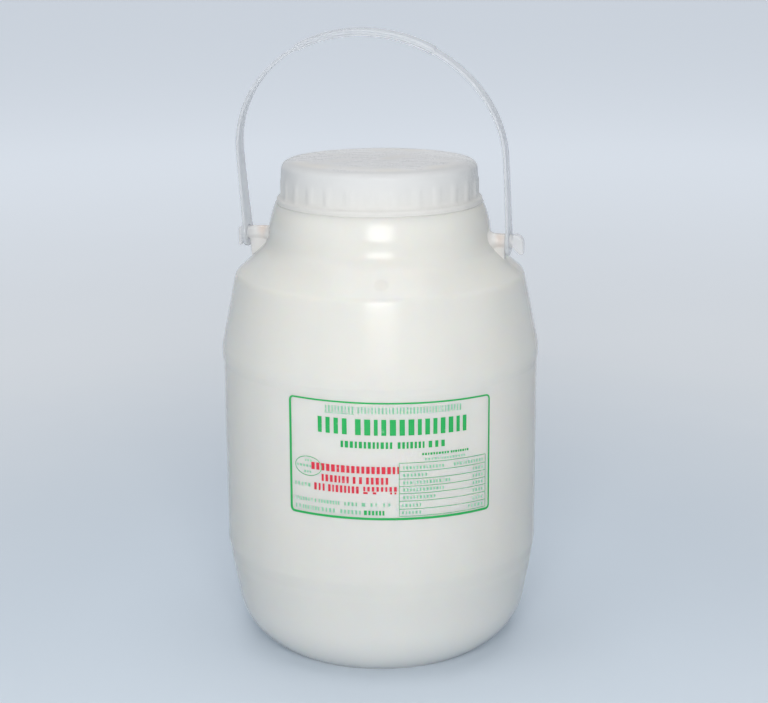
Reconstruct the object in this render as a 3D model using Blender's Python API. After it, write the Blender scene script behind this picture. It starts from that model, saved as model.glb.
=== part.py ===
# Two litre plastic milk jug: blown bottle, milk, ribbed push-on cap and strap handle.
# Z is up, the jug stands on z = 0 with its axis on Z, and the handle turns about a line along X.
import math

import bmesh
import bpy
from mathutils import Matrix, Vector

# body, in metres
WALL = 0.0010
WIDE_RADIUS = 0.0660
PANEL_RADIUS = 0.0653
PANEL_TOP = 0.1210
PANEL_BOTTOM = 0.0440
STEP_HEIGHT = 0.0013
BEAD_RADIUS = 0.0640
BEAD_HEIGHT = 0.0355
BEAD_DEPTH = 0.0003
BEAD_BAND = 0.0030
WIDE_TOP = 0.1274
WIDE_ROUND = 0.010
SHOULDER_RADIUS = 0.0598
SHOULDER_HEIGHT = 0.1574
SHOULDER_ROUND = 0.005
NECK_ROOT_RADIUS = 0.0460
NECK_ROOT_HEIGHT = 0.1693
NECK_WAIST_HEIGHT = 0.1740
LEDGE_RADIUS = 0.0427
LEDGE_HEIGHT = 0.1866
LEDGE_ROUND = 0.0014
FINISH_RADIUS = 0.0385
RIM_HEIGHT = 0.2005
HEEL_RADIUS = 0.0586
HEEL_HEIGHT = 0.0066
HEEL_ROUND = 0.028
REST_RADIUS = 0.0466
REST_ROUND = 0.003
PUSH_UP_RADIUS = 0.0315
PUSH_UP_SLOPE = 0.003
PUSH_UP_HEIGHT = 0.0026
BODY_SIDES = 56
MILK_SIDES = BODY_SIDES // 2

# milk, poured to just above the cap's lower edge
MILK_LEVEL = 0.1890
MILK_GAP = 0.0003

# cap
CAP_TOP = 0.2040
CAP_PLATE = 0.0024
CAP_DISC_RADIUS = 0.0310
CAP_DISC_DROP = 0.0009
CAP_CROWN_RADIUS = 0.0400
CAP_BAND_RADIUS = 0.0404
CAP_RIB_RADIUS = 0.0410
CAP_FLANGE_RADIUS = 0.0422
CAP_FLANGE_HEIGHT = 0.0029
CAP_RIB_TOP = 0.1976
CAP_CORNER = 0.0031
CAP_BORE_RADIUS = 0.0388
CAP_GAP = 0.0003
RIB_COUNT = 28
RIB_END = 0.0008

# lugs that carry the handle
PIVOT_HEIGHT = 0.1716
STEM_RADIUS = 0.0027
LUG_RISE = 0.0029
STEM_BITE = 0.0008
HEAD_REACH = {"right": 0.0600, "left": 0.0603}
HEAD_GAP = {"right": 0.0012, "left": 0.0003}
HEAD_DROP = 0.0054
HEAD_THICKNESS = 0.0056
HEAD_ROUND = {"right": 0.0036, "left": 0.0018}
HEAD_TOE = 0.0012
HEAD_CUT = 0.0033
WEB_REACH = {"right": 0.0526, "left": 0.0555}
WEB_THICKNESS = 0.0036
WEB_SLANT = 0.0006
WEB_BASE = 0.1600
LUG_ROOT = 0.0400

# strap handle, which sits a little towards -X on its lugs
HANDLE_SHIFT = -0.0016
PAD_OFFSET = 0.0553
PAD_RADIUS = 0.0059
PAD_THICKNESS = 0.0016
EYE_RADIUS = 0.0031
STRAP_THICKNESS = 0.0014
STRAP_TOP_WIDTH = 0.0062
STRAP_LEG_GAIN = 0.0028
STRAP_FOOT_GAIN = 0.0024
STRAP_FOOT_POWER = 8
GRIP_THICKNESS = 0.0028
GRIP_LENGTH = 0.0585
GRIP_STEP = 0.0008
ARCH_HALF_WIDTH = 0.0556
ARCH_SPRING = 0.0343
ARCH_CROWN = 0.0843
ARCH_SWAY = 0.0030
LEG_SHARE = 0.30
STRAP_STEPS = 44
HANDLE_LEAN = math.radians(6)

# one facet of a rounded corner turns through about this angle
CORNER_STEP = math.radians(22)


def material(name, colour, roughness, alpha=1.0):
    made = bpy.data.materials.new(name)
    made.use_nodes = True
    shader = made.node_tree.nodes["Principled BSDF"]
    shader.inputs["Base Color"].default_value = (*colour, 1.0)
    shader.inputs["Roughness"].default_value = roughness
    shader.inputs["Metallic"].default_value = 0.0
    shader.inputs["Alpha"].default_value = alpha
    return made


def object_from(name, work, surface=None):
    bmesh.ops.recalc_face_normals(work, faces=work.faces)
    mesh = bpy.data.meshes.new(name)
    work.to_mesh(mesh)
    work.free()
    made = bpy.data.objects.new(name, mesh)
    bpy.context.scene.collection.objects.link(made)
    if surface:
        mesh.materials.append(surface)
    return made


def tool(made):
    made.hide_render = True
    made.display_type = "WIRE"
    return made


def rounded(corners):
    """Turn (across, up, round) corners into an outline with an arc at each rounded corner."""
    points = []
    for index, (across, up, radius) in enumerate(corners):
        corner = Vector((across, up))
        if radius == 0 or index in (0, len(corners) - 1):
            points.append(corner)
            continue
        back = (Vector(corners[index - 1][:2]) - corner).normalized()
        ahead = (Vector(corners[index + 1][:2]) - corner).normalized()
        turn = math.pi - back.angle(ahead)
        steps = max(1, round(turn / CORNER_STEP))
        start = corner + back * radius * math.tan(turn / 2)
        centre = corner + (back + ahead).normalized() * radius / math.cos(turn / 2)
        swing = turn if back.x * ahead.y - back.y * ahead.x < 0 else -turn
        for step in range(steps + 1):
            angle = swing * step / steps
            points.append(centre + Matrix.Rotation(angle, 2) @ (start - centre))
    return points


def inset(corners, distance):
    """Move an outline that runs down its outer side inward by a wall's thickness."""
    moved = []
    for index, (across, up, radius) in enumerate(corners):
        here = Vector((across, up))
        normals = []
        if index > 0:
            run = (here - Vector(corners[index - 1][:2])).normalized()
            normals.append(Vector((run.y, -run.x)))
        if index < len(corners) - 1:
            run = (Vector(corners[index + 1][:2]) - here).normalized()
            normals.append(Vector((run.y, -run.x)))
        shift = sum(normals, Vector((0, 0)))
        if len(normals) == 2:
            hollow = normals[0].x * normals[1].y - normals[0].y * normals[1].x > 0
            radius = radius + distance if hollow else max(radius - distance, 0.0)
            shift /= 1 + normals[0].dot(normals[1])
        place = here + shift * distance
        moved.append((place.x if across else 0.0, place.y, radius))
    return moved


def turned(name, outline, sides, surface=None):
    """Turn an outline, which may start and end on the axis, about Z."""
    work = bmesh.new()
    rings = []
    for point in outline:
        if point.x < 1e-7:
            rings.append([work.verts.new((0, 0, point.y))] * sides)
            continue
        ring = []
        for side in range(sides):
            angle = 2 * math.pi * side / sides
            ring.append(work.verts.new((point.x * math.cos(angle), point.x * math.sin(angle), point.y)))
        rings.append(ring)
    join_rings(work, rings)
    return object_from(name, work, surface)


def join_rings(work, rings):
    for upper, lower in zip(rings, rings[1:]):
        for side in range(len(upper)):
            after = (side + 1) % len(upper)
            corners = [upper[side], lower[side], lower[after], upper[after]]
            work.faces.new(list(dict.fromkeys(corners)))


def plate(name, corners, thickness):
    """Extrude a rounded outline in the XZ plane to a plate centred on y = 0."""
    work = bmesh.new()
    front = [work.verts.new((point.x, -thickness / 2, point.y)) for point in rounded(corners)]
    face = work.faces.new(front)
    grown = bmesh.ops.extrude_face_region(work, geom=[face])["geom"]
    back = [item for item in grown if isinstance(item, bmesh.types.BMVert)]
    bmesh.ops.translate(work, verts=back, vec=(0, thickness, 0))
    return tool(object_from(name, work))


def rod(name, start, length, radius, sides=24):
    """Round rod along X."""
    work = bmesh.new()
    turn = Matrix.Rotation(math.pi / 2, 4, "Y")
    place = Matrix.Translation((start + length / 2, 0, 0)) @ turn
    bmesh.ops.create_cone(work, cap_ends=True, segments=sides, radius1=radius, radius2=radius,
                          depth=abs(length), matrix=place)
    return object_from(name, work)


def combine(target, other, operation):
    step = target.modifiers.new(other.name, "BOOLEAN")
    step.operation = operation
    step.object = other
    step.solver = "EXACT"


# body outline, from the rim down the outside to the middle of the underside
outside = [
    (FINISH_RADIUS, RIM_HEIGHT, 0),
    (FINISH_RADIUS, LEDGE_HEIGHT, 0),
    (LEDGE_RADIUS, LEDGE_HEIGHT, LEDGE_ROUND),
    (NECK_ROOT_RADIUS, NECK_WAIST_HEIGHT, 0),
    (NECK_ROOT_RADIUS, NECK_ROOT_HEIGHT, SHOULDER_ROUND),
    (SHOULDER_RADIUS, SHOULDER_HEIGHT, SHOULDER_ROUND),
    (WIDE_RADIUS, WIDE_TOP, WIDE_ROUND),
    (WIDE_RADIUS, PANEL_TOP + STEP_HEIGHT, 0),
    (PANEL_RADIUS, PANEL_TOP, 0),
    (PANEL_RADIUS, PANEL_BOTTOM, 0),
    (BEAD_RADIUS + BEAD_DEPTH, BEAD_HEIGHT + BEAD_BAND, 0),
    (BEAD_RADIUS, BEAD_HEIGHT, 0),
    (HEEL_RADIUS, HEEL_HEIGHT, HEEL_ROUND),
    (REST_RADIUS, 0.0, REST_ROUND),
    (PUSH_UP_RADIUS + PUSH_UP_SLOPE, 0.0, 0),
    (PUSH_UP_RADIUS, PUSH_UP_HEIGHT, 0),
    (0.0, PUSH_UP_HEIGHT, 0),
]


def build_bottle():
    white = material("bottle_plastic", (0.86, 0.86, 0.83), 0.32)
    top = [Vector((0, RIM_HEIGHT))]
    bottle = turned("bottle", top + rounded(outside), BODY_SIDES, white)

    top = PIVOT_HEIGHT + LUG_RISE
    below = PIVOT_HEIGHT - STEM_RADIUS
    for side, word in ((1, "right"), (-1, "left")):
        face = PAD_OFFSET + side * HANDLE_SHIFT + PAD_THICKNESS / 2 + HEAD_GAP[word]
        reach = HEAD_REACH[word]
        web = plate("web_" + word, [
            (side * LUG_ROOT, top, 0),
            (side * WEB_REACH[word], top, 0),
            (side * WEB_REACH[word], below, STEM_RADIUS),
            (side * (WEB_REACH[word] - WEB_SLANT), WEB_BASE, STEM_RADIUS),
            (side * LUG_ROOT, WEB_BASE, 0),
        ], WEB_THICKNESS)
        head = plate("head_" + word, [
            (side * face, top, 0),
            (side * reach, top, HEAD_ROUND[word]),
            (side * reach, PIVOT_HEIGHT - HEAD_DROP, HEAD_TOE / 2),
            (side * (reach - HEAD_TOE), PIVOT_HEIGHT - HEAD_DROP, 0),
            (side * face, PIVOT_HEIGHT - HEAD_DROP + HEAD_CUT, 0),
        ], HEAD_THICKNESS)
        stem = tool(rod("stem_" + word, side * LUG_ROOT, side * (face + STEM_BITE - LUG_ROOT), STEM_RADIUS))
        stem.location.z = PIVOT_HEIGHT
        for piece in (web, stem, head):
            combine(bottle, piece, "UNION")

    hollow = rounded(inset(outside, WALL))
    mouth = [Vector((0, RIM_HEIGHT + 0.01)), Vector((hollow[0].x, RIM_HEIGHT + 0.01))]
    cavity = tool(turned("cavity", mouth + hollow, BODY_SIDES))
    combine(bottle, cavity, "DIFFERENCE")


def build_milk():
    cream = material("milk", (0.93, 0.91, 0.84), 0.25)
    space = rounded(inset(outside, WALL + MILK_GAP))
    filled = [point for point in space if point.y < MILK_LEVEL]
    surface = [Vector((0, MILK_LEVEL)), Vector((space[0].x, MILK_LEVEL))]
    turned("milk", surface + filled, MILK_SIDES, cream)


def build_cap():
    """The skirt's rings share their angles, so each rib is two corners of every ring in its band."""
    grey = material("cap_plastic", (0.78, 0.77, 0.78), 0.38)
    foot = LEDGE_HEIGHT + CAP_GAP
    flange_top = foot + CAP_FLANGE_HEIGHT
    crown = rounded([
        (0, CAP_TOP, 0),
        (CAP_DISC_RADIUS, CAP_TOP, 0),
        (CAP_CROWN_RADIUS, CAP_TOP - CAP_DISC_DROP, CAP_CORNER),
        (CAP_BAND_RADIUS, CAP_RIB_TOP, 0),
    ])
    plain = [(point.x, point.y, 0) for point in crown]
    rise = CAP_RIB_RADIUS - CAP_BAND_RADIUS
    ribbed = [
        (CAP_BAND_RADIUS, CAP_RIB_TOP - RIB_END, rise),
        (CAP_BAND_RADIUS, flange_top, rise),
    ]
    lower = [
        (CAP_FLANGE_RADIUS, flange_top - RIB_END, 0),
        (CAP_FLANGE_RADIUS, foot, 0),
        (CAP_BORE_RADIUS, foot, 0),
        (CAP_BORE_RADIUS, CAP_TOP - CAP_PLATE, 0),
        (0, CAP_TOP - CAP_PLATE, 0),
    ]
    pitch = 2 * math.pi / RIB_COUNT
    rib_corners = ((0.00, 0), (0.46, 0), (0.60, 1), (0.86, 1))
    work = bmesh.new()
    rings = []
    for radius, height, lift in plain + ribbed + lower:
        if radius == 0:
            rings.append([work.verts.new((0, 0, height))] * (RIB_COUNT * len(rib_corners)))
            continue
        ring = []
        for rib in range(RIB_COUNT):
            for share, on_rib in rib_corners:
                angle = pitch * (rib + share)
                reach = radius + lift * on_rib
                ring.append(work.verts.new((reach * math.cos(angle), reach * math.sin(angle), height)))
        rings.append(ring)
    join_rings(work, rings)
    object_from("cap", work, grey)


def arch_point(share):
    """Middle of the strap for a share from 0 at the right pad to 1 at the left, as x and height."""
    side = 1 if share <= 0.5 else -1
    climb = 2 * min(share, 1 - share)
    if climb < LEG_SHARE:
        part = climb / LEG_SHARE
        across = ARCH_HALF_WIDTH - (ARCH_HALF_WIDTH - PAD_OFFSET) * (1 - part) ** 2
        up = ARCH_SPRING * part
    else:
        angle = (climb - LEG_SHARE) / (1 - LEG_SHARE) * math.pi / 2
        across = ARCH_HALF_WIDTH * math.cos(angle)
        up = ARCH_SPRING + (ARCH_CROWN - ARCH_SPRING) * math.sin(angle)
    sway = ARCH_SWAY * max(0.0, up - PAD_RADIUS) / (ARCH_CROWN - PAD_RADIUS)
    return Vector((side * across + HANDLE_SHIFT - sway, up))


def strap_section(width, thickness):
    """Corners of the strap's section as (outward, along the width), with its long edges eased."""
    ease = thickness * 0.3
    outward = thickness / 2
    half = width / 2
    return ((outward, half - ease), (outward - ease, half), (ease - outward, half), (-outward, half - ease),
            (-outward, ease - half), (ease - outward, -half), (outward - ease, -half), (outward, ease - half))


def build_handle():
    clear = material("handle_plastic", (0.80, 0.81, 0.83), 0.30, alpha=0.8)
    pivot = bpy.data.objects.new("handle_pivot", None)
    bpy.context.scene.collection.objects.link(pivot)
    pivot.location.z = PIVOT_HEIGHT
    pivot.rotation_euler.x = HANDLE_LEAN

    samples = 400
    route = [arch_point(step / samples) for step in range(samples + 1)]
    lengths = [0.0]
    for here, after in zip(route, route[1:]):
        lengths.append(lengths[-1] + (after - here).length)
    middle = lengths[-1] / 2

    def at_length(distance):
        index = min(max(sum(length < distance for length in lengths), 1), samples)
        span = lengths[index] - lengths[index - 1]
        return route[index - 1].lerp(route[index], (distance - lengths[index - 1]) / span)

    stops = [lengths[-1] * step / STRAP_STEPS for step in range(STRAP_STEPS + 1)]
    for end in (middle - GRIP_LENGTH / 2, middle + GRIP_LENGTH / 2):
        stops = [stop for stop in stops if abs(stop - end) > 2 * GRIP_STEP]
        stops += [end - GRIP_STEP / 2, end + GRIP_STEP / 2]
    stops.sort()

    work = bmesh.new()
    rings = []
    for stop in stops:
        here = at_length(stop)
        run = at_length(min(stop + GRIP_STEP, lengths[-1])) - at_length(max(stop - GRIP_STEP, 0.0))
        run.normalize()
        outward = Vector((run.y, -run.x))
        toward_top = 1 - abs(stop - middle) / middle
        width = STRAP_TOP_WIDTH + STRAP_LEG_GAIN * (1 - toward_top) ** 2
        width += STRAP_FOOT_GAIN * (1 - toward_top) ** STRAP_FOOT_POWER
        gripped = abs(stop - middle) < GRIP_LENGTH / 2
        thickness = GRIP_THICKNESS if gripped else STRAP_THICKNESS
        ring = []
        for out, along in strap_section(width, thickness):
            place = here + outward * out
            ring.append(work.verts.new((place.x, along, place.y)))
        rings.append(ring)
    join_rings(work, rings)
    work.faces.new(rings[0])
    work.faces.new(list(reversed(rings[-1])))
    handle = object_from("handle", work, clear)
    handle.parent = pivot

    for side, word in ((1, "right"), (-1, "left")):
        inner = HANDLE_SHIFT + side * (PAD_OFFSET - PAD_THICKNESS / 2)
        pad = tool(rod("pad_" + word, inner, side * PAD_THICKNESS, PAD_RADIUS, 32))
        pad.parent = pivot
        combine(handle, pad, "UNION")
        eye = tool(rod("eye_" + word, inner - side * PAD_RADIUS, side * 2 * PAD_RADIUS, EYE_RADIUS))
        eye.parent = pivot
        combine(handle, eye, "DIFFERENCE")


def main():
    for old in list(bpy.data.objects):
        bpy.data.objects.remove(old)
    build_bottle()
    build_milk()
    build_cap()
    build_handle()


main()
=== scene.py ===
import math
import random

import bmesh
import bpy
from mathutils import Matrix, Vector


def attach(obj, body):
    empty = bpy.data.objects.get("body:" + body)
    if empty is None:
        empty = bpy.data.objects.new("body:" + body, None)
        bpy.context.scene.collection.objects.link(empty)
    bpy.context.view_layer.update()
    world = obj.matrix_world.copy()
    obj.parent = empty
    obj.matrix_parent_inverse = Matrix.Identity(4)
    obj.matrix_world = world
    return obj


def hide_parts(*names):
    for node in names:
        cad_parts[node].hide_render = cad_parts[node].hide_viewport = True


# A full milk jug: blown bottle with moulded lugs, the milk, a ribbed cap and a strap handle.
# Metres, Z up, the jug stands on z = 0, X runs through the handle's pivots.
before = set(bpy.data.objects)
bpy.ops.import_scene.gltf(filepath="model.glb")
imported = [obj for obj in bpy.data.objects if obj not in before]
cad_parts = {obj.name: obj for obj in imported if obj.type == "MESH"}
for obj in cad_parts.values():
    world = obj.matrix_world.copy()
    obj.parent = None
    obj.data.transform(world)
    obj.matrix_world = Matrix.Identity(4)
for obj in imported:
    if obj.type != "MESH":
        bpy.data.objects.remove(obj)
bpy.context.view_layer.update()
mm = 0.001
print("frame loaded:", sorted(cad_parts))


class Wire:
    # a socket that can stand in a sum
    def __init__(self, tree, socket):
        self.tree = tree
        self.socket = socket

    def maths(self, operation, first, second):
        node = self.tree.nodes.new("ShaderNodeMath")
        node.operation = operation
        connect(self.tree, node.inputs[0], first)
        connect(self.tree, node.inputs[1], second)
        return Wire(self.tree, node.outputs[0])

    def __add__(self, other):
        return self.maths("ADD", self, other)

    def __radd__(self, other):
        return self.maths("ADD", other, self)

    def __sub__(self, other):
        return self.maths("SUBTRACT", self, other)

    def __rsub__(self, other):
        return self.maths("SUBTRACT", other, self)

    def __mul__(self, other):
        return self.maths("MULTIPLY", self, other)

    def __rmul__(self, other):
        return self.maths("MULTIPLY", other, self)


def connect(tree, slot, value):
    if isinstance(value, Wire):
        tree.links.new(value.socket, slot)
    elif slot.type == "RGBA" and len(value) == 3:
        slot.default_value = (*value, 1.0)
    else:
        slot.default_value = value


class Finish:
    # one material with its nodes
    def __init__(self, name, looks):
        self.material = bpy.data.materials.new(name)
        self.material.use_nodes = True
        self.tree = self.material.node_tree
        self.shader = self.tree.nodes["Principled BSDF"]
        self.feed(looks)

    def feed(self, looks):
        for socket, value in looks.items():
            connect(self.tree, self.shader.inputs[socket], value)

    def node(self, kind, inputs=None, output=0, **settings):
        made = self.tree.nodes.new("ShaderNode" + kind)
        for setting, value in settings.items():
            if setting == "stops":
                ramp = made.color_ramp.elements
                while len(ramp) < len(value):
                    ramp.new(0.5)
                for stop, (place, colour) in zip(ramp, value):
                    stop.position = place
                    stop.color = (*colour, 1.0)
            else:
                setattr(made, setting, value)
        for socket, value in (inputs or {}).items():
            connect(self.tree, made.inputs[socket], value)
        return Wire(self.tree, made.outputs[output])

    def place(self):
        return self.node("TexCoord", output=3)

    def stretched(self, scale):
        return self.node("Mapping", {"Vector": self.place(), "Scale": scale})

    def noise(self, scale, detail=2.0, vector=None, roughness=0.5):
        return self.node("TexNoise", {"Vector": vector or self.place(), "Scale": scale,
                                      "Detail": detail, "Roughness": roughness})

    def blend(self, share, first, second):
        return self.node("Mix", {0: share, 6: first, 7: second}, output=2, data_type="RGBA")

    def band(self, value, low, high):
        # 0 below low, 1 above high, eased between them
        return self.node("MapRange", {"Value": value, "From Min": low, "From Max": high},
                         interpolation_type="SMOOTHSTEP")

    def along(self, axis):
        return self.node("SeparateXYZ", {"Vector": self.place()}, output="XYZ".index(axis))

    def length(self, vector):
        return self.node("VectorMath", {0: vector}, output=1, operation="LENGTH")

    def distance(self, point):
        return self.node("VectorMath", {0: self.place(), 1: point}, output=1, operation="DISTANCE")

    def bump(self, height, strength, distance):
        return self.node("Bump", {"Height": height, "Strength": strength, "Distance": distance})


class Sky(Finish):
    # the world's nodes, made in the same way
    def __init__(self, name):
        self.world = bpy.data.worlds.new(name)
        self.world.use_nodes = True
        self.tree = self.world.node_tree
        self.shader = self.tree.nodes["Background"]

    def place(self):
        return self.node("TexCoord", output=0)


def pieceFrom(name, work, finish):
    bmesh.ops.recalc_face_normals(work, faces=work.faces)
    mesh = bpy.data.meshes.new(name)
    work.to_mesh(mesh)
    work.free()
    mesh.shade_smooth()
    mesh.materials.append(finish.material)
    made = bpy.data.objects.new(name, mesh)
    bpy.context.scene.collection.objects.link(made)
    return made


def settled(piece, tools=()):
    # modifiers applied, tools taken away
    bpy.context.view_layer.update()
    graph = bpy.context.evaluated_depsgraph_get()
    mesh = bpy.data.meshes.new_from_object(piece.evaluated_get(graph))
    piece.modifiers.clear()
    piece.data = mesh
    mesh.shade_smooth()
    for tool in tools:
        bpy.data.objects.remove(tool)
    return piece


def loft(work, rings, closed=False):
    # skin a list of rings of vertices; a ring of one vertex is a pole
    pairs = list(zip(rings, rings[1:]))
    if closed:
        pairs.append((rings[-1], rings[0]))
    for upper, lower in pairs:
        count = max(len(upper), len(lower))
        if count == 1:
            continue
        for index in range(count):
            after = (index + 1) % count
            corners = [upper[index % len(upper)], lower[index % len(lower)],
                       lower[after % len(lower)], upper[after % len(upper)]]
            work.faces.new(list(dict.fromkeys(corners)))


def rounded(corners, step, fine=None):
    # (across, up, round) corners to points: an arc at each rounded corner, long runs cut to fine
    points = []
    for index, (across, up, radius) in enumerate(corners):
        corner = Vector((across, up))
        if radius == 0 or index in (0, len(corners) - 1):
            points.append(corner)
            continue
        back = (Vector(corners[index - 1][:2]) - corner).normalized()
        ahead = (Vector(corners[index + 1][:2]) - corner).normalized()
        turn = math.pi - back.angle(ahead)
        steps = max(2, round(turn / step))
        start = corner + back * radius * math.tan(turn / 2)
        centre = corner + (back + ahead).normalized() * radius / math.cos(turn / 2)
        swing = turn if back.x * ahead.y - back.y * ahead.x < 0 else -turn
        for part in range(steps + 1):
            points.append(centre + Matrix.Rotation(swing * part / steps, 2) @ (start - centre))
    if not fine:
        return points
    cut = [points[0]]
    for here in points[1:]:
        before = cut[-1]
        pieces = max(1, round((here - before).length / fine))
        cut += [before.lerp(here, part / pieces) for part in range(1, pieces + 1)]
    return cut


def inset(corners, distance):
    # a corner list that runs down its outer side, moved inward
    moved = []
    for index, (across, up, radius) in enumerate(corners):
        here = Vector((across, up))
        normals = []
        if index > 0:
            run = (here - Vector(corners[index - 1][:2])).normalized()
            normals.append(Vector((run.y, -run.x)))
        if index < len(corners) - 1:
            run = (Vector(corners[index + 1][:2]) - here).normalized()
            normals.append(Vector((run.y, -run.x)))
        shift = sum(normals, Vector((0, 0)))
        if len(normals) == 2:
            hollow = normals[0].x * normals[1].y - normals[0].y * normals[1].x > 0
            radius = radius + distance if hollow else max(radius - distance, 0.0)
            shift /= 1 + normals[0].dot(normals[1])
        place = here + shift * distance
        moved.append((place.x if across else 0.0, place.y, radius))
    return moved


def turnedRings(work, outline, angles, relief=None):
    rings = []
    for point in outline:
        if point.x < 1e-6:
            rings.append([work.verts.new((0, 0, point.y))])
            continue
        ring = []
        for angle in angles:
            reach = point.x + (relief(angle, point.y) if relief else 0.0)
            ring.append(work.verts.new((reach * math.cos(angle), reach * math.sin(angle), point.y)))
        rings.append(ring)
    return rings


def eased(value):
    value = min(max(value, 0.0), 1.0)
    return value * value * (3 - 2 * value)


# camera, where the photograph was taken from
viewpoint = {
    "place": (0.1698, -0.7133, 0.3040),
    "turn": 13.276,                    # degrees from straight on, towards +X
    "tip": 76.106,
    "roll": -0.33,
    "lens": 84.49,
}
camera = bpy.data.objects.new("camera", bpy.data.cameras.new("camera"))
camera.data.lens = viewpoint["lens"]
camera.data.sensor_width = 36.0
camera.matrix_world = (Matrix.Translation(viewpoint["place"])
                       @ Matrix.Rotation(math.radians(viewpoint["turn"]), 4, "Z")
                       @ Matrix.Rotation(math.radians(viewpoint["tip"]), 4, "X")
                       @ Matrix.Rotation(math.radians(viewpoint["roll"]), 4, "Z"))
bpy.context.scene.collection.objects.link(camera)
bpy.context.scene.camera = camera
print("camera set")


# bottle: blown in one with the lugs' roots, a milky wall over the milk
bottle = {
    "wide": 65.8 * mm,
    "panel": 65.3 * mm,                # straight part that takes the print
    "panelTop": 121.0 * mm,
    "panelFoot": 44.0 * mm,
    "rim": 200.5 * mm,
    "finish": 38.5 * mm,               # neck inside the cap
    "ledge": (42.7 * mm, 186.6 * mm),
    "neckTop": (43.95 * mm, 183.4 * mm),
    "neckMiddle": (45.35 * mm, 178.2 * mm),
    "neckRoot": (46.2 * mm, 169.6 * mm),
    "shoulder": (59.8 * mm, 157.4 * mm),
    "wideTop": 127.4 * mm,
    "panelStep": (2.4 * mm, -0.4 * mm),    # where the step into the panel starts and ends
    "lowStep": ((64.35 * mm, 38.6 * mm), (64.0 * mm, 35.6 * mm)),
    "heel": (58.6 * mm, 6.6 * mm),
    "rest": (34.5 * mm, 46.6 * mm),        # the ring that it stands on, inner and outer
    "pushUp": (31.5 * mm, 2.6 * mm),
    "wall": 1.35 * mm,
    "outerSteps": (math.radians(5), 1.6 * mm),
    "innerSteps": (math.radians(9), 4.0 * mm),
    "seamHeight": 0.12 * mm,
    "seamHalfWidth": 0.7 * mm,
    "seamTurns": (0.15, 0.35, 0.6, 0.9),   # degrees beside the seam where the mesh is cut
    "sides": 220,
    "waviness": 0.07 * mm,
    "dimpleTurn": -76.3,               # dull press mark on the shoulder, degrees round from +X
    "dimpleHeight": 162.4 * mm,
    "dimpleSize": 3.0 * mm,
    "dimpleDepth": 0.35 * mm,
    "dimpleArc": 54.0 * mm,            # the wall's radius there, for lengths round it
    "dimpleReach": 54.5 * mm,
    "dimpleRim": (2.3 * mm, 3.4 * mm),
    "dimpleTone": (0.850, 0.840, 0.806),
    "heelPaintedLightTone": (0.975, 0.972, 0.955),     # painted light: the foot of the wall is made lighter, standing in for light thrown up from the floor
    "heelPaintedLightBand": (8.0 * mm, 42.0 * mm),
    "tones": ((0.905, 0.900, 0.868), (0.880, 0.876, 0.850)),
    "alpha": 0.55,
}

# its outline from the rim down: across, up, round
outside = [
    (bottle["finish"], bottle["rim"], 0),
    (bottle["finish"], bottle["ledge"][1], 0),
    (*bottle["ledge"], 0.5 * mm),
    (*bottle["neckTop"], 15.0 * mm),
    (*bottle["neckMiddle"], 15.0 * mm),
    (*bottle["neckRoot"], 12.0 * mm),
    (*bottle["shoulder"], 5.0 * mm),
    (bottle["wide"], bottle["wideTop"], 10.0 * mm),
    (bottle["wide"], bottle["panelTop"] + bottle["panelStep"][0], 4.0 * mm),
    (bottle["panel"], bottle["panelTop"] + bottle["panelStep"][1], 5.0 * mm),
    (bottle["panel"], bottle["panelFoot"], 9.0 * mm),
    (*bottle["lowStep"][0], 2.5 * mm),
    (*bottle["lowStep"][1], 2.5 * mm),
    (*bottle["heel"], 28.0 * mm),
    (bottle["rest"][1], 0.0, 3.0 * mm),
    (bottle["rest"][0], 0.0, 0.8 * mm),
    (*bottle["pushUp"], 0.8 * mm),
    (0.0, bottle["pushUp"][1], 0),
]


def wallRelief(angle, height):
    # slight unevenness of the blown wall, the mould's seam in the lugs' plane and the press mark
    fade = eased((bottle["ledge"][1] - height) / (6 * mm)) * eased(height / (14 * mm))
    swell = (math.sin(3 * angle + 31 * height) + math.sin(5 * angle - 47 * height + 1.3)
             + 0.7 * math.sin(2 * angle + 74 * height + 0.4)) / 2.7
    reach = swell * bottle["waviness"] * fade
    aside = abs(math.remainder(angle, math.pi)) * bottle["panel"]
    reach += bottle["seamHeight"] * fade * (1 - eased(aside / bottle["seamHalfWidth"]))
    turned = math.remainder(angle - math.radians(bottle["dimpleTurn"]), 2 * math.pi)
    above = (height - bottle["dimpleHeight"]) * 1.5
    away = math.hypot(turned * bottle["dimpleArc"], above) / bottle["dimpleSize"]
    return reach - bottle["dimpleDepth"] * math.exp(-away ** 4)


def wallAngles():
    angles = [2 * math.pi * side / bottle["sides"] for side in range(bottle["sides"])]
    for seam in (0.0, math.pi):
        for turn in bottle["seamTurns"]:
            angles += [(seam + side * math.radians(turn)) % (2 * math.pi) for side in (1, -1)]
    dimple = math.radians(bottle["dimpleTurn"]) % (2 * math.pi)
    angles += [dimple + math.radians(0.4 * part + 0.1) for part in range(-9, 10)]
    return sorted(angles)


def plasticNodes(finish, pale, grey, grainScale=1500.0, grainDepth=0.03):
    # moulded plastic: soft clouds of tone, a fine grain, a few rubbed spots
    cloud = finish.noise(26.0, 3.0)
    flow = finish.noise(60.0, 2.0, finish.stretched((1.0, 1.0, 0.12)))
    grain = finish.noise(grainScale, 3.0)
    rubbed = finish.band(finish.noise(90.0, 4.0), 0.50, 0.80)
    tone = finish.blend(finish.band(cloud * 0.6 + flow * 0.4, 0.38, 0.62), pale, grey)
    finish.feed({
        "Base Color": tone,
        "Roughness": 0.115 + grain * 0.05 + rubbed * 0.03 + cloud * 0.04,
        "Normal": finish.bump(grain * 0.4 + flow * 0.8, grainDepth * 10, 0.04 * mm),
    })
    return tone


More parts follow.
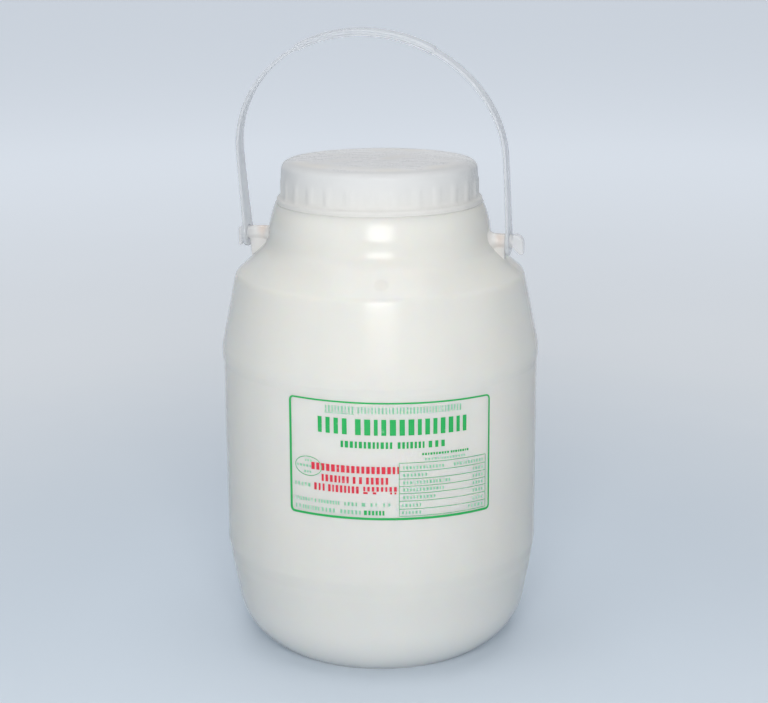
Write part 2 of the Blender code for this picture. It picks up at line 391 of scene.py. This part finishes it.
def buildBottle():
    finish = Finish("milkyPlastic", {"Alpha": bottle["alpha"], "Specular IOR Level": 0.4, "IOR": 1.5})
    tone = plasticNodes(finish, *bottle["tones"], grainDepth=0.02)
    turn = math.radians(bottle["dimpleTurn"])
    reach = bottle["dimpleReach"]
    away = finish.distance((reach * math.cos(turn), reach * math.sin(turn), bottle["dimpleHeight"]))
    pressed = 1 - finish.band(away, *bottle["dimpleRim"])
    tone = finish.blend(pressed, tone, bottle["dimpleTone"])
    # painted light: a lighter colour low down on the wall, for the light thrown up from the floor
    heel = 1 - finish.band(finish.along("Z"), *bottle["heelPaintedLightBand"])
    finish.feed({"Base Color": finish.blend(heel, tone, bottle["heelPaintedLightTone"])})
    work = bmesh.new()
    angles = wallAngles()
    outer = rounded(outside, *bottle["outerSteps"])
    inner = rounded(inset(outside, bottle["wall"]), *bottle["innerSteps"])
    rings = turnedRings(work, outer, angles, wallRelief)
    rings += turnedRings(work, list(reversed(inner)), angles)
    loft(work, rings, closed=True)
    shell = pieceFrom("bottleShell", work, finish)
    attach(shell, "jug")
    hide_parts("bottle")


buildBottle()
print("bottle blown")


# lugs: a fin on the neck's root, a round stem and a hooked head outside the strap's eye
lug = {
    "pivot": 171.6 * mm,
    "stem": 2.7 * mm,
    "rise": 2.85 * mm,
    "root": 43.5 * mm,
    "webReach": {1: 52.6 * mm, -1: 55.5 * mm},
    "webSlant": 0.6 * mm,
    "webBase": 160.0 * mm,
    "webHalf": 1.7 * mm,
    "face": {1: 55.7 * mm, -1: 58.0 * mm},      # the strap leaves more play on the right
    "reach": {1: 60.0 * mm, -1: 60.3 * mm},
    "round": {1: 3.6 * mm, -1: 1.8 * mm},
    "drop": 5.4 * mm,
    "cut": 3.3 * mm,
    "toe": 1.2 * mm,
    "glow": {1: (50.4 * mm, 171.9 * mm), -1: (49.6 * mm, 172.3 * mm)},   # warm light from the milk
    "glowReach": (1.04 * mm, 4.16 * mm),   # full up to the first, gone at the second
    "glowTone": (0.880, 0.670, 0.550),
    "innerTone": (0.885, 0.870, 0.845),
    "tones": ((0.800, 0.792, 0.795), (0.755, 0.760, 0.775)),
    "headHalf": 2.75 * mm,
    "voxel": 0.26 * mm,
    "smoothings": 7,
    "flare": 5.2 * mm,
    "alpha": 0.66,
    "headClear": 0.22,
}


def prism(work, corners, half):
    # a rounded outline in the XZ plane, thickened both ways along Y
    outline = rounded(corners, math.radians(14))
    loops = [[work.verts.new((point.x, along, point.y)) for point in outline] for along in (-half, half)]
    loft(work, loops)
    work.faces.new(loops[0])
    work.faces.new(list(reversed(loops[1])))


def rodAlongX(work, stations, centre, sides=28):
    # (x, radius) stations
    rings = []
    for across, radius in stations:
        ring = []
        for side in range(sides):
            angle = 2 * math.pi * side / sides
            along, up = radius * math.cos(angle), centre + radius * math.sin(angle)
            ring.append(work.verts.new((across, along, up)))
        rings.append(ring)
    loft(work, rings)
    work.faces.new(rings[0])
    work.faces.new(list(reversed(rings[-1])))


def buildLug(word, side):
    finish = Finish("lugPlastic" + word, {"Specular IOR Level": 0.6, "IOR": 1.5})
    tone = plasticNodes(finish, *lug["tones"])
    face = lug["face"][side]
    inner = 1 - finish.band(finish.along("X") * side, face - 6.0 * mm, face - 1.0 * mm)
    tone = finish.blend(inner, tone, lug["innerTone"])
    across, up = lug["glow"][side]
    warmth = 1 - finish.band(finish.distance((side * across, 0.0, up)), *lug["glowReach"])
    outer = finish.band(finish.along("X") * side, face - 2.0 * mm, face + 0.6 * mm)
    finish.feed({
        "Base Color": finish.blend(warmth * 0.9, tone, lug["glowTone"]),
        "Alpha": lug["alpha"] - outer * lug["headClear"],
    })
    reach = lug["reach"][side]
    web = lug["webReach"][side]
    top = lug["pivot"] + lug["rise"]
    low = lug["pivot"] - lug["drop"]
    work = bmesh.new()
    prism(work, [
        (side * lug["root"], top, 0),
        (side * web, top, 0.6 * mm),
        (side * web, lug["pivot"] - lug["stem"], 2.4 * mm),
        (side * (web - lug["webSlant"]), lug["webBase"], 0),
        (side * lug["root"], lug["webBase"], 0),
    ], lug["webHalf"])
    prism(work, [
        (side * face, top, 0),
        (side * reach, top, lug["round"][side]),
        (side * reach, low, 0.6 * mm),
        (side * (reach - lug["toe"]), low, 0),
        (side * face, low + lug["cut"], 0),
    ], lug["headHalf"])
    rodAlongX(work, [
        (side * lug["root"], lug["flare"]),
        (side * (lug["root"] + 3.6 * mm), lug["stem"] * 1.25),
        (side * (lug["root"] + 6.0 * mm), lug["stem"]),
        (side * (face + 0.8 * mm), lug["stem"]),
    ], lug["pivot"])
    piece = pieceFrom("lug" + word, work, finish)
    remesh = piece.modifiers.new("skin", "REMESH")
    remesh.mode = "VOXEL"
    remesh.voxel_size = lug["voxel"]
    smooth = piece.modifiers.new("soften", "SMOOTH")
    smooth.iterations = lug["smoothings"]
    settled(piece)
    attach(piece, "jug")


buildLug("Right", 1)
buildLug("Left", -1)
print("lugs moulded")


# milk: fills the bottle to just above the cap's lower edge and reaches into the wall
milk = {
    "level": 189.0 * mm,
    "intoWall": 0.75 * mm,
    "sides": 160,
    "steps": (math.radians(8), 4.0 * mm),
    "meniscus": 0.8 * mm,
    "meniscusShare": 0.12,             # how far in from the wall it reaches
    "tones": ((0.925, 0.905, 0.845), (0.935, 0.920, 0.865)),
}


def buildMilk():
    finish = Finish("wholeMilk", {
        "IOR": 1.35,
        "Specular IOR Level": 0.3,
        "Subsurface Weight": 0.6,
        "Subsurface Radius": (1.0, 0.75, 0.5),
        "Subsurface Scale": 3.0 * mm,
    })
    swirl = finish.noise(18.0, 2.0)
    finish.feed({
        "Base Color": finish.blend(finish.band(swirl, 0.35, 0.65), *milk["tones"]),
        "Roughness": 0.30 + swirl * 0.10,
    })
    work = bmesh.new()
    space = rounded(inset(outside, milk["intoWall"]), *milk["steps"])
    filled = [point for point in space if point.y < milk["level"]]
    neck = space[0].x
    top = [Vector((0, milk["level"] - milk["meniscus"]))]
    for part in range(1, 8):
        across = neck * (1 - milk["meniscusShare"] * (1 - part / 7))
        top.append(Vector((across, milk["level"] - milk["meniscus"] * (1 - eased(part / 7)))))
    angles = [2 * math.pi * side / milk["sides"] for side in range(milk["sides"])]
    loft(work, turnedRings(work, top + filled, angles))
    body = pieceFrom("milkBody", work, finish)
    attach(body, "jug")
    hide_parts("milk")


buildMilk()
print("milk poured")


# cap: thin skirt with wide soft ribs, a flange below and a rounded crown
cap = {
    "top": 203.95 * mm,
    "foot": 186.2 * mm,                # sunk a little into the bottle's ledge
    "disc": 31.0 * mm,                 # flat middle of the top, its rim slopes down
    "crown": 39.9 * mm,
    "crownDrop": 0.9 * mm,
    "band": 40.35 * mm,
    "rib": 0.40 * mm,
    "ribTop": 197.6 * mm,
    "ribs": 28,
    "ribShare": (0.40, 0.64, 0.76, 1.00),   # where a rib rises, is full, and falls, in one pitch
    "flange": 42.2 * mm,
    "flangeHeight": 3.1 * mm,
    "bore": 38.8 * mm,
    "plate": 2.4 * mm,
    "sidesPerRib": 16,
    "steps": (math.radians(12), 1.1 * mm),
    "alpha": 0.74,
    "discAlpha": 0.92,
    "skirtSeeThroughBand": (188.0 * mm, 201.0 * mm),
    "skirtSeeThroughTones": ((0.925, 0.915, 0.885), (0.880, 0.885, 0.885)),
    "topTones": ((0.860, 0.852, 0.845), (0.868, 0.838, 0.785)),
}


def ribRelief(angle, height):
    share = (angle / (2 * math.pi) * cap["ribs"]) % 1.0
    rise, full, fall, end = cap["ribShare"]
    across = eased((share - rise) / (full - rise)) * (1 - eased((share - fall) / (end - fall)))
    upper = 1 - eased((height - cap["ribTop"] + 2.2 * mm) / (2.2 * mm))
    lower = eased((height - cap["foot"] - cap["flangeHeight"] + 0.6 * mm) / (0.8 * mm))
    return cap["rib"] * across * upper * lower


def capNodes(finish):
    # painted see-through light and shade: the skirt is creamier low down, where the milk shows through it,
    # and greyer higher up, where the shaded hollow inside shows through
    shade = finish.band(finish.along("Z"), *cap["skirtSeeThroughBand"])
    blotch = finish.band(finish.noise(48.0, 1.0), 0.45, 0.75)
    away = finish.length(finish.stretched((1.0, 1.0, 0.0)))
    disc = 1 - finish.band(away, cap["disc"] + 2.0 * mm, cap["crown"] - 0.4 * mm)
    skirt = finish.blend(shade, *cap["skirtSeeThroughTones"])
    top = finish.blend(blotch, *cap["topTones"])
    grain = finish.noise(1300.0, 3.0)
    scuff = finish.band(finish.noise(160.0, 3.0, finish.stretched((1.0, 2.6, 1.0))), 0.35, 0.95)
    finish.feed({
        "Base Color": finish.blend(disc, skirt, top),
        "Alpha": cap["alpha"] + disc * (cap["discAlpha"] - cap["alpha"]),
        "Roughness": 0.25 + grain * 0.04 + scuff * 0.03 + blotch * 0.03,
        "Normal": finish.bump(grain * 0.4 + scuff * 0.05, 0.12, 0.03 * mm),
    })


def buildCap():
    finish = Finish("capPlastic", {"Specular IOR Level": 0.5, "IOR": 1.18})
    capNodes(finish)
    flangeTop = cap["foot"] + cap["flangeHeight"]
    # down its outer side and back up inside: across, up, round
    profile = [
        (0, cap["top"], 0),
        (cap["disc"], cap["top"], 9.0 * mm),
        (cap["crown"], cap["top"] - cap["crownDrop"], 3.1 * mm),
        (cap["band"], cap["ribTop"], 0),
        (cap["band"], flangeTop, 1.4 * mm),
        (cap["flange"], flangeTop - 0.9 * mm, 0.9 * mm),
        (cap["flange"], cap["foot"], 0.1 * mm),
        (cap["bore"], cap["foot"], 0.3 * mm),
        (cap["bore"], cap["top"] - cap["plate"], 0.8 * mm),
        (0, cap["top"] - cap["plate"], 0),
    ]
    work = bmesh.new()
    sides = cap["ribs"] * cap["sidesPerRib"]
    angles = [2 * math.pi * side / sides for side in range(sides)]
    outline = rounded(profile, *cap["steps"])
    outline = [point for index, point in enumerate(outline)
               if index in (0, len(outline) - 1) or point.x > 4 * mm]
    bandHalf = (cap["bore"] + cap["band"]) / 2
    rings = []
    for point in outline:
        outerWall = point.x > bandHalf and point.y < cap["ribTop"] + 1 * mm
        rings += turnedRings(work, [point], angles, ribRelief if outerWall else None)
    loft(work, rings)
    shell = pieceFrom("capShell", work, finish)
    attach(shell, "jug")
    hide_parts("cap")


buildCap()
print("cap pressed on")


# strap handle: a nearly clear strip that narrows to a thicker grip, with an eye at each end
strap = {
    "pivot": 171.6 * mm,
    "lean": 6.0,                       # degrees, top towards the viewer
    "shift": -1.6 * mm,                # it has slid a little to the left on its lugs
    "padOffset": 55.3 * mm,
    "padRadius": 5.9 * mm,
    "padThickness": 1.6 * mm,
    "eye": 3.1 * mm,
    "thickness": 1.4 * mm,
    "topWidth": 6.2 * mm,
    "legGain": 2.8 * mm,
    "footGain": 2.4 * mm,
    "footPower": 8,                    # how late the strip widens towards the pads
    "gripThickness": 2.8 * mm,
    "gripLength": 58.5 * mm,
    "gripStep": 1.0 * mm,
    "groove": 0.45 * mm,
    "halfWidth": 55.6 * mm,
    "spring": 34.3 * mm,
    "crown": 84.25 * mm,
    "sway": 3.0 * mm,
    "legShare": 0.30,
    "steps": 170,
    "padEdge": 0.35 * mm,
    "eyeFlare": 1.8 * mm,              # how much the eye's cutter widens outside the pad
    "alpha": 0.54,
    "tones": ((0.735, 0.758, 0.790), (0.695, 0.718, 0.755)),
}


def strapPoint(share):
    # middle of the strip from the right eye, 0, to the left one, 1, as (x, height over the pivots)
    side = 1 if share <= 0.5 else -1
    climb = 2 * min(share, 1 - share)
    if climb < strap["legShare"]:
        part = climb / strap["legShare"]
        across = strap["halfWidth"] - (strap["halfWidth"] - strap["padOffset"]) * (1 - part) ** 2
        up = strap["spring"] * part
    else:
        angle = (climb - strap["legShare"]) / (1 - strap["legShare"]) * math.pi / 2
        across = strap["halfWidth"] * math.cos(angle)
        up = strap["spring"] + (strap["crown"] - strap["spring"]) * math.sin(angle)
    lean = strap["sway"] * max(0.0, up - strap["padRadius"]) / (strap["crown"] - strap["padRadius"])
    return Vector((side * across + strap["shift"] - lean, up))


def strapSection(width, thickness, groove):
    # (outward, along the width) corners of the strip, eased edges, grooved along its sides
    ease = 0.26 * thickness
    half = width / 2
    outward = thickness / 2
    quarter = []
    for part in range(4):
        angle = math.pi / 2 * part / 3
        quarter.append((outward - ease + ease * math.cos(angle), half - ease + ease * math.sin(angle)))
    side = [(0.20 * thickness, half), (0.13 * thickness, half - groove)]
    face = [(outward, half * 0.66), (outward, half * 0.33), (outward, 0.0)]
    first = list(reversed(face)) + quarter + side
    second = [(-out, along) for out, along in reversed(quarter + side)]
    second += [(-out, along) for out, along in face[:2]]
    upper = first + second
    return upper + [(-out, -along) for out, along in upper]


def buildHandle():
    finish = Finish("strapPlastic", {"Alpha": strap["alpha"], "Specular IOR Level": 0.5, "IOR": 1.5})
    plasticNodes(finish, *strap["tones"], 1100.0, 0.012)
    samples = 600
    route = [strapPoint(step / samples) for step in range(samples + 1)]
    lengths = [0.0]
    for here, after in zip(route, route[1:]):
        lengths.append(lengths[-1] + (after - here).length)
    whole = lengths[-1]
    middle = whole / 2
    gripEnd = strap["gripLength"] / 2

    def atLength(distance):
        index = min(max(sum(length < distance for length in lengths), 1), samples)
        span = lengths[index] - lengths[index - 1]
        return route[index - 1].lerp(route[index], (distance - lengths[index - 1]) / span)

    stops = [whole * step / strap["steps"] for step in range(strap["steps"] + 1)]
    for end in (middle - gripEnd, middle + gripEnd):
        stops = [stop for stop in stops if abs(stop - end) > strap["gripStep"] * 0.8]
        stops += [end + strap["gripStep"] * part / 6 for part in range(-3, 4)]
    stops.sort()

    work = bmesh.new()
    rings = []
    for stop in stops:
        here = atLength(stop)
        run = atLength(min(stop + 1 * mm, whole)) - atLength(max(stop - 1 * mm, 0.0))
        run.normalize()
        outward = Vector((run.y, -run.x))
        away = abs(stop - middle)
        width = strap["topWidth"] + strap["legGain"] * (away / middle) ** 2
        width += strap["footGain"] * (away / middle) ** strap["footPower"]
        gripped = eased((gripEnd - away) / strap["gripStep"] + 0.5)
        thickness = strap["thickness"] + (strap["gripThickness"] - strap["thickness"]) * gripped
        ring = []
        for out, along in strapSection(width, thickness, strap["groove"] * gripped):
            place = here + outward * out
            ring.append(work.verts.new((place.x, along, place.y)))
        rings.append(ring)
    loft(work, rings)
    work.faces.new(rings[0])
    work.faces.new(list(reversed(rings[-1])))
    handle = pieceFrom("strapHandle", work, finish)

    tools = []
    for side, word in ((1, "Right"), (-1, "Left")):
        inner = strap["padOffset"] + side * strap["shift"] - strap["padThickness"] / 2
        outer = inner + strap["padThickness"]
        edge = strap["padEdge"]
        work = bmesh.new()
        rodAlongX(work, [
            (side * inner, strap["padRadius"] - edge),
            (side * (inner + edge * 0.3), strap["padRadius"] - edge * 0.3),
            (side * (inner + edge), strap["padRadius"]),
            (side * (outer - edge), strap["padRadius"]),
            (side * (outer - edge * 0.3), strap["padRadius"] - edge * 0.3),
            (side * outer, strap["padRadius"] - edge),
        ], 0.0, 64)
        tools.append((pieceFrom("pad" + word, work, finish), "UNION"))
        work = bmesh.new()
        rodAlongX(work, [
            (side * (inner - 2 * mm), strap["eye"] + strap["eyeFlare"]),
            (side * (inner + 0.3 * mm), strap["eye"]),
            (side * (outer - 0.3 * mm), strap["eye"]),
            (side * (outer + 2 * mm), strap["eye"] + strap["eyeFlare"]),
        ], 0.0, 48)
        tools.append((pieceFrom("eye" + word, work, finish), "DIFFERENCE"))
    for tool, operation in tools:
        step = handle.modifiers.new(tool.name, "BOOLEAN")
        step.operation = operation
        step.object = tool
        step.solver = "EXACT"
    settled(handle, [tool for tool, operation in tools])
    handle.data.set_sharp_from_angle(angle=math.radians(50))
    lean = Matrix.Rotation(math.radians(strap["lean"]), 4, "X")
    handle.data.transform(Matrix.Translation((0, 0, strap["pivot"])) @ lean)
    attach(handle, "bail")
    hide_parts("handle")


buildHandle()
print("handle hooked on")


# print: a ruled frame with plain bars and blocks of thin ink
label = {
    "turn": 15.35,                     # degrees round from -Y towards +X
    "foot": 71.3 * mm,
    "slope": -0.018,
    "proud": 0.05 * mm,
    "sunk": 0.06 * mm,
    "seed": 5,
    # from here on millimetres on the label itself: across from its middle, up from its foot
    "frame": (-40.25, 44.5, -0.55, 47.1),
    "frameLine": (1.0, 0.75, 0.95, 0.65),
    "frameCorner": 2.0,
    "oval": (-31.8, 19.4, 5.9, 4.05),
    "table": (4.75, 42.3),
    "tableLines": (22.75, 19.35, 16.3, 13.25, 10.3, 7.2, 3.95, 1.0),
    "tableRows": ((6.3, 22.8, 27.2), (6.3, 15.8, 36.0), (6.3, 25.6, 36.0), (6.3, 22.8, 36.0),
                  (6.3, 19.3, 36.0), (5.8, 13.4, 36.0), (5.8, 13.4, 33.8)),
    "tableEnd": 40.9,
    "tableLine": 0.24,
    "tableFoot": 0.85,                 # a row's blocks above the line under it
    "tableTall": 1.25,
    "tablePitch": 1.3,
}
# rows of blocks: low, high, share of ink, then each group's left, right and number of blocks
solidRows = (
    (33.9, 40.3, 0.60, (-27.4, -15.6, 4), (-12.3, 32.8, 14)),
    (28.6, 31.25, 0.62, (-18.1, 2.1, 12), (4.2, 14.8, 7), (16.5, 23.2, 3)),
    (1.45, 3.3, 0.66, (-9.1, -1.1, 6)),
    (25.6, 26.5, 0.66, (13.9, 25.0, 10), (25.8, 33.8, 8)),
)
paleRows = (
    (42.5, 45.2, 0.42, (-24.3, -12.9, 9), (-11.3, 2.8, 11), (3.9, 30.3, 21)),
    (42.0, 42.3, 1.0, (-24.5, -12.7, 1)),
    (23.5, 24.4, 0.55, (15.0, 21.0, 5), (21.8, 32.2, 9)),
    (10.9, 12.4, 0.55, (-37.9, -31.0, 5)),
    (4.9, 6.4, 0.55, (-38.0, -31.5, 6), (-30.7, -28.6, 2), (-27.5, -18.9, 8), (-16.9, -11.8, 4),
     (-10.0, -8.6, 1), (-6.5, -3.9, 2), (-1.6, 1.2, 2)),
    (1.5, 3.2, 0.55, (-37.7, -35.5, 2), (-34.5, -27.3, 7), (-26.3, -20.8, 4), (-18.5, -10.4, 6)),
    (21.2, 22.1, 0.6, (-33.3, -30.3, 3)),
    (18.9, 19.9, 0.6, (-36.8, -30.4, 5)),
    (16.6, 17.5, 0.6, (-33.6, -30.6, 3)),
)
redRows = (
    (18.35, 21.25, 0.66, (-30.4, 3.2, 17), (4.0, 4.7, 1)),
    (14.05, 16.85, 0.62, (-26.1, -15.0, 7), (-13.4, -9.8, 2), (-8.2, 0.4, 5)),
    (10.1, 13.0, 0.60, (-29.3, -24.9, 3), (-23.4, -11.1, 8)),
    (11.2, 13.1, 0.56, (-9.3, 3.8, 8)),
    (10.1, 10.9, 0.60, (-9.3, -7.6, 1), (-5.6, -4.2, 1), (1.2, 3.6, 2)),
)
inks = {
    "green": (0.005, 0.445, 0.095),
    "mid": (0.080, 0.450, 0.180),
    "pale": (0.220, 0.580, 0.350),
    "red": (0.760, 0.018, 0.050),
}


def onLabel(across, up, lift):
    # a point of the label, with its tilt, on the bottle's wall
    height = label["foot"] + (up + label["slope"] * across) * mm
    angle = math.radians(label["turn"] - 90) + across * mm / bottle["panel"]
    reach = bottle["panel"] + wallRelief(angle, height) + lift
    return (reach * math.cos(angle), reach * math.sin(angle), height)


def inkStrip(work, pairs, closed=False):
    # a thin closed strip of ink between pairs of label points
    rings = []
    for first, second in pairs:
        rings.append([work.verts.new(onLabel(*first, label["proud"])),
                      work.verts.new(onLabel(*second, label["proud"])),
                      work.verts.new(onLabel(*second, -label["sunk"])),
                      work.verts.new(onLabel(*first, -label["sunk"]))])
    loft(work, rings, closed)
    if not closed:
        work.faces.new(rings[0])
        work.faces.new(list(reversed(rings[-1])))


def inkBar(work, left, right, low, high):
    pieces = max(1, round((right - left) / 1.6))
    stops = [left + (right - left) * part / pieces for part in range(pieces + 1)]
    inkStrip(work, [((stop, low), (stop, high)) for stop in stops])


def roundedBox(left, right, low, high, corner, count=40):
    # the same number of points on every box, so that two of them can be joined to a frame
    points = []
    centres = [(right - corner, high - corner), (left + corner, high - corner),
               (left + corner, low + corner), (right - corner, low + corner)]
    for quarter, (across, up) in enumerate(centres):
        for part in range(7):
            angle = math.pi / 2 * (quarter + part / 6)
            points.append((across + corner * math.cos(angle), up + corner * math.sin(angle)))
    cut = []
    for index, here in enumerate(points):
        after = points[(index + 1) % len(points)]
        pieces = count if index % 7 == 6 else 1
        run = (after[0] - here[0], after[1] - here[1])
        for part in range(pieces):
            cut.append((here[0] + run[0] * part / pieces, here[1] + run[1] * part / pieces))
    return cut


def oval(across, up, wide, tall, count=56):
    return [(across + wide * math.cos(2 * math.pi * part / count),
             up + tall * math.sin(2 * math.pi * part / count)) for part in range(count)]


def blockRow(work, draw, low, high, share, *groups):
    # groups of plain blocks of mixed widths
    for left, right, count in groups:
        weights = [draw.uniform(0.75, 1.25) for block in range(count)]
        gap = (right - left) * (1 - share) / max(count - 1, 1)
        if count == 1:
            gap = 0.0
        unit = (right - left - gap * (count - 1)) / sum(weights)
        here = left
        for weight in weights:
            inkBar(work, here, here + weight * unit, low, high)
            here += weight * unit + gap


def inkFinish(name, colour, worn):
    finish = Finish(name, {"Specular IOR Level": 0.35})
    patch = finish.noise(420.0, 4.0)
    cloud = finish.noise(60.0, 2.0)
    rubbed = finish.band(patch * 0.6 + cloud * 0.4, *worn)
    thin = tuple(0.45 * part + 0.42 for part in colour)
    even = finish.blend(patch, colour, tuple(0.94 * part + 0.03 for part in colour))
    finish.feed({
        "Base Color": finish.blend(rubbed, even, thin),
        "Roughness": 0.28 + cloud * 0.12 + rubbed * 0.1,
        "Normal": finish.bump(patch, 0.15, 0.02 * mm),
    })
    return finish


def inkPiece(name, work, finish):
    piece = pieceFrom(name, work, finish)
    piece.data.set_sharp_from_angle(angle=math.radians(40))
    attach(piece, "jug")


def buildPrint():
    draw = random.Random(label["seed"])

    work = bmesh.new()
    left, right, low, high = label["frame"]
    lineLeft, lineRight, lineLow, lineHigh = label["frameLine"]
    corner = label["frameCorner"]
    inkStrip(work, list(zip(
        roundedBox(left, right, low, high, corner),
        roundedBox(left + lineLeft, right - lineRight, low + lineLow, high - lineHigh, corner - 0.8),
    )), closed=True)
    for row in solidRows:
        blockRow(work, draw, *row)
    inkPiece("printGreen", work, inkFinish("inkGreen", inks["green"], (0.62, 0.80)))

    work = bmesh.new()
    left, right = label["table"]
    lines = label["tableLines"]
    half = label["tableLine"] / 2
    for up in lines:
        inkBar(work, left, right, up - half, up + half)
    for across in (left, right):
        inkBar(work, across - half, across + half, lines[-1], lines[0])
    across, up, wide, tall = label["oval"]
    inkStrip(work, list(zip(
        oval(across, up, wide, tall),
        oval(across, up, wide - 0.3, tall - 0.3),
    )), closed=True)
    inkPiece("printMid", work, inkFinish("inkMid", inks["mid"], (0.52, 0.74)))

    work = bmesh.new()
    for row in paleRows:
        blockRow(work, draw, *row)
    for upper, lower, (start, stop, value) in zip(lines, lines[1:], label["tableRows"]):
        foot = lower + label["tableFoot"]
        head = min(foot + label["tableTall"], upper - 0.6)
        for first, last in ((start, stop), (value, label["tableEnd"])):
            blockRow(work, draw, foot, head, 0.5, (first, last, round((last - first) / label["tablePitch"])))
    inkPiece("printPale", work, inkFinish("inkPale", inks["pale"], (0.48, 0.72)))

    work = bmesh.new()
    for row in redRows:
        blockRow(work, draw, *row)
    inkPiece("printRed", work, inkFinish("inkRed", inks["red"], (0.58, 0.76)))


buildPrint()
print("label printed")


# floor and light: a pale sheet, a soft box over the camera, large fills on the left and above,
# and a brighter patch of sky behind
studio = {
    "sky": (0.160, 0.172, 0.188),
    "glow": (0.700, 0.720, 0.750),     # soft patch of sky behind the jug
    "glowTurn": 193.4,
    "glowLift": 18.0,
    "glowEdge": (52.0, 20.0),          # degrees from its middle where it starts and is full
    "floorReach": 9.0,
    "floorNear": (0.615, 0.672, 0.732),
    "floorFar": (0.900, 0.900, 0.900),
    "nearGlow": (0.075, 0.090, 0.108),
    "farGlow": (0.362, 0.402, 0.455),  # the sheet's far part is lit on its own
    "aim": (0.0, 0.0, 0.170),
    "near": (0.12, 0.62),              # metres from the jug over which the sheet's tone changes
    "far": (0.12, 1.7),
    # each light: name, degrees from -Y towards +X, degrees up, metres away, width, height, watts, colour
    "lights": (
        ("softBox", 13.4, 18.3, 0.75, 0.30, 0.27, 3.00, (1.0, 0.980, 0.945)),
        ("fill", -50.0, 35.0, 1.8, 1.6, 1.6, 1.6, (0.92, 0.97, 1.0)),
        ("topFill", 0.0, 88.0, 1.5, 1.2, 1.2, 10.0, (0.95, 0.975, 1.0)),
    ),
}


def bearing(turn, lift):
    # unit vector towards a light, turned from -Y towards +X and lifted
    turn, lift = math.radians(turn), math.radians(lift)
    return Vector((math.sin(turn) * math.cos(lift), -math.cos(turn) * math.cos(lift), math.sin(lift)))


def buildStudio():
    finish = Finish("paleSheet", {"Specular IOR Level": 0.1, "Emission Strength": 1.0})
    paper = finish.noise(9.0, 3.0)
    away = finish.length(finish.place()) + paper * 0.05
    near = finish.band(away, *studio["near"])
    far = finish.band(away, *studio["far"])
    finish.feed({
        "Base Color": finish.blend(near, studio["floorNear"], studio["floorFar"]),
        "Emission Color": finish.blend(far, studio["nearGlow"], studio["farGlow"]),
        "Roughness": 0.78 + paper * 0.1,
    })
    work = bmesh.new()
    bmesh.ops.create_circle(work, cap_ends=True, segments=96, radius=studio["floorReach"])
    pieceFrom("floor", work, finish)

    sky = Sky("studioSky")
    edges = [math.cos(math.radians(edge)) for edge in studio["glowEdge"]]
    middle = bearing(studio["glowTurn"], studio["glowLift"])
    facing = sky.node("VectorMath", {0: sky.place(), 1: middle}, output=1, operation="DOT_PRODUCT")
    sky.feed({"Color": sky.blend(sky.band(facing, *edges), studio["sky"], studio["glow"])})
    bpy.context.scene.world = sky.world

    for name, turn, lift, away, width, height, watts, colour in studio["lights"]:
        lamp = bpy.data.lights.new(name, "AREA")
        lamp.shape = "RECTANGLE"
        lamp.size = width
        lamp.size_y = height
        lamp.energy = watts
        lamp.color = colour
        box = bpy.data.objects.new(name, lamp)
        toward = bearing(turn, lift)
        box.location = Vector(studio["aim"]) + toward * away
        box.rotation_euler = toward.to_track_quat("Z", "Y").to_euler()
        bpy.context.scene.collection.objects.link(box)
    bpy.context.scene.view_settings.view_transform = "Standard"


buildStudio()
print("studio lit")
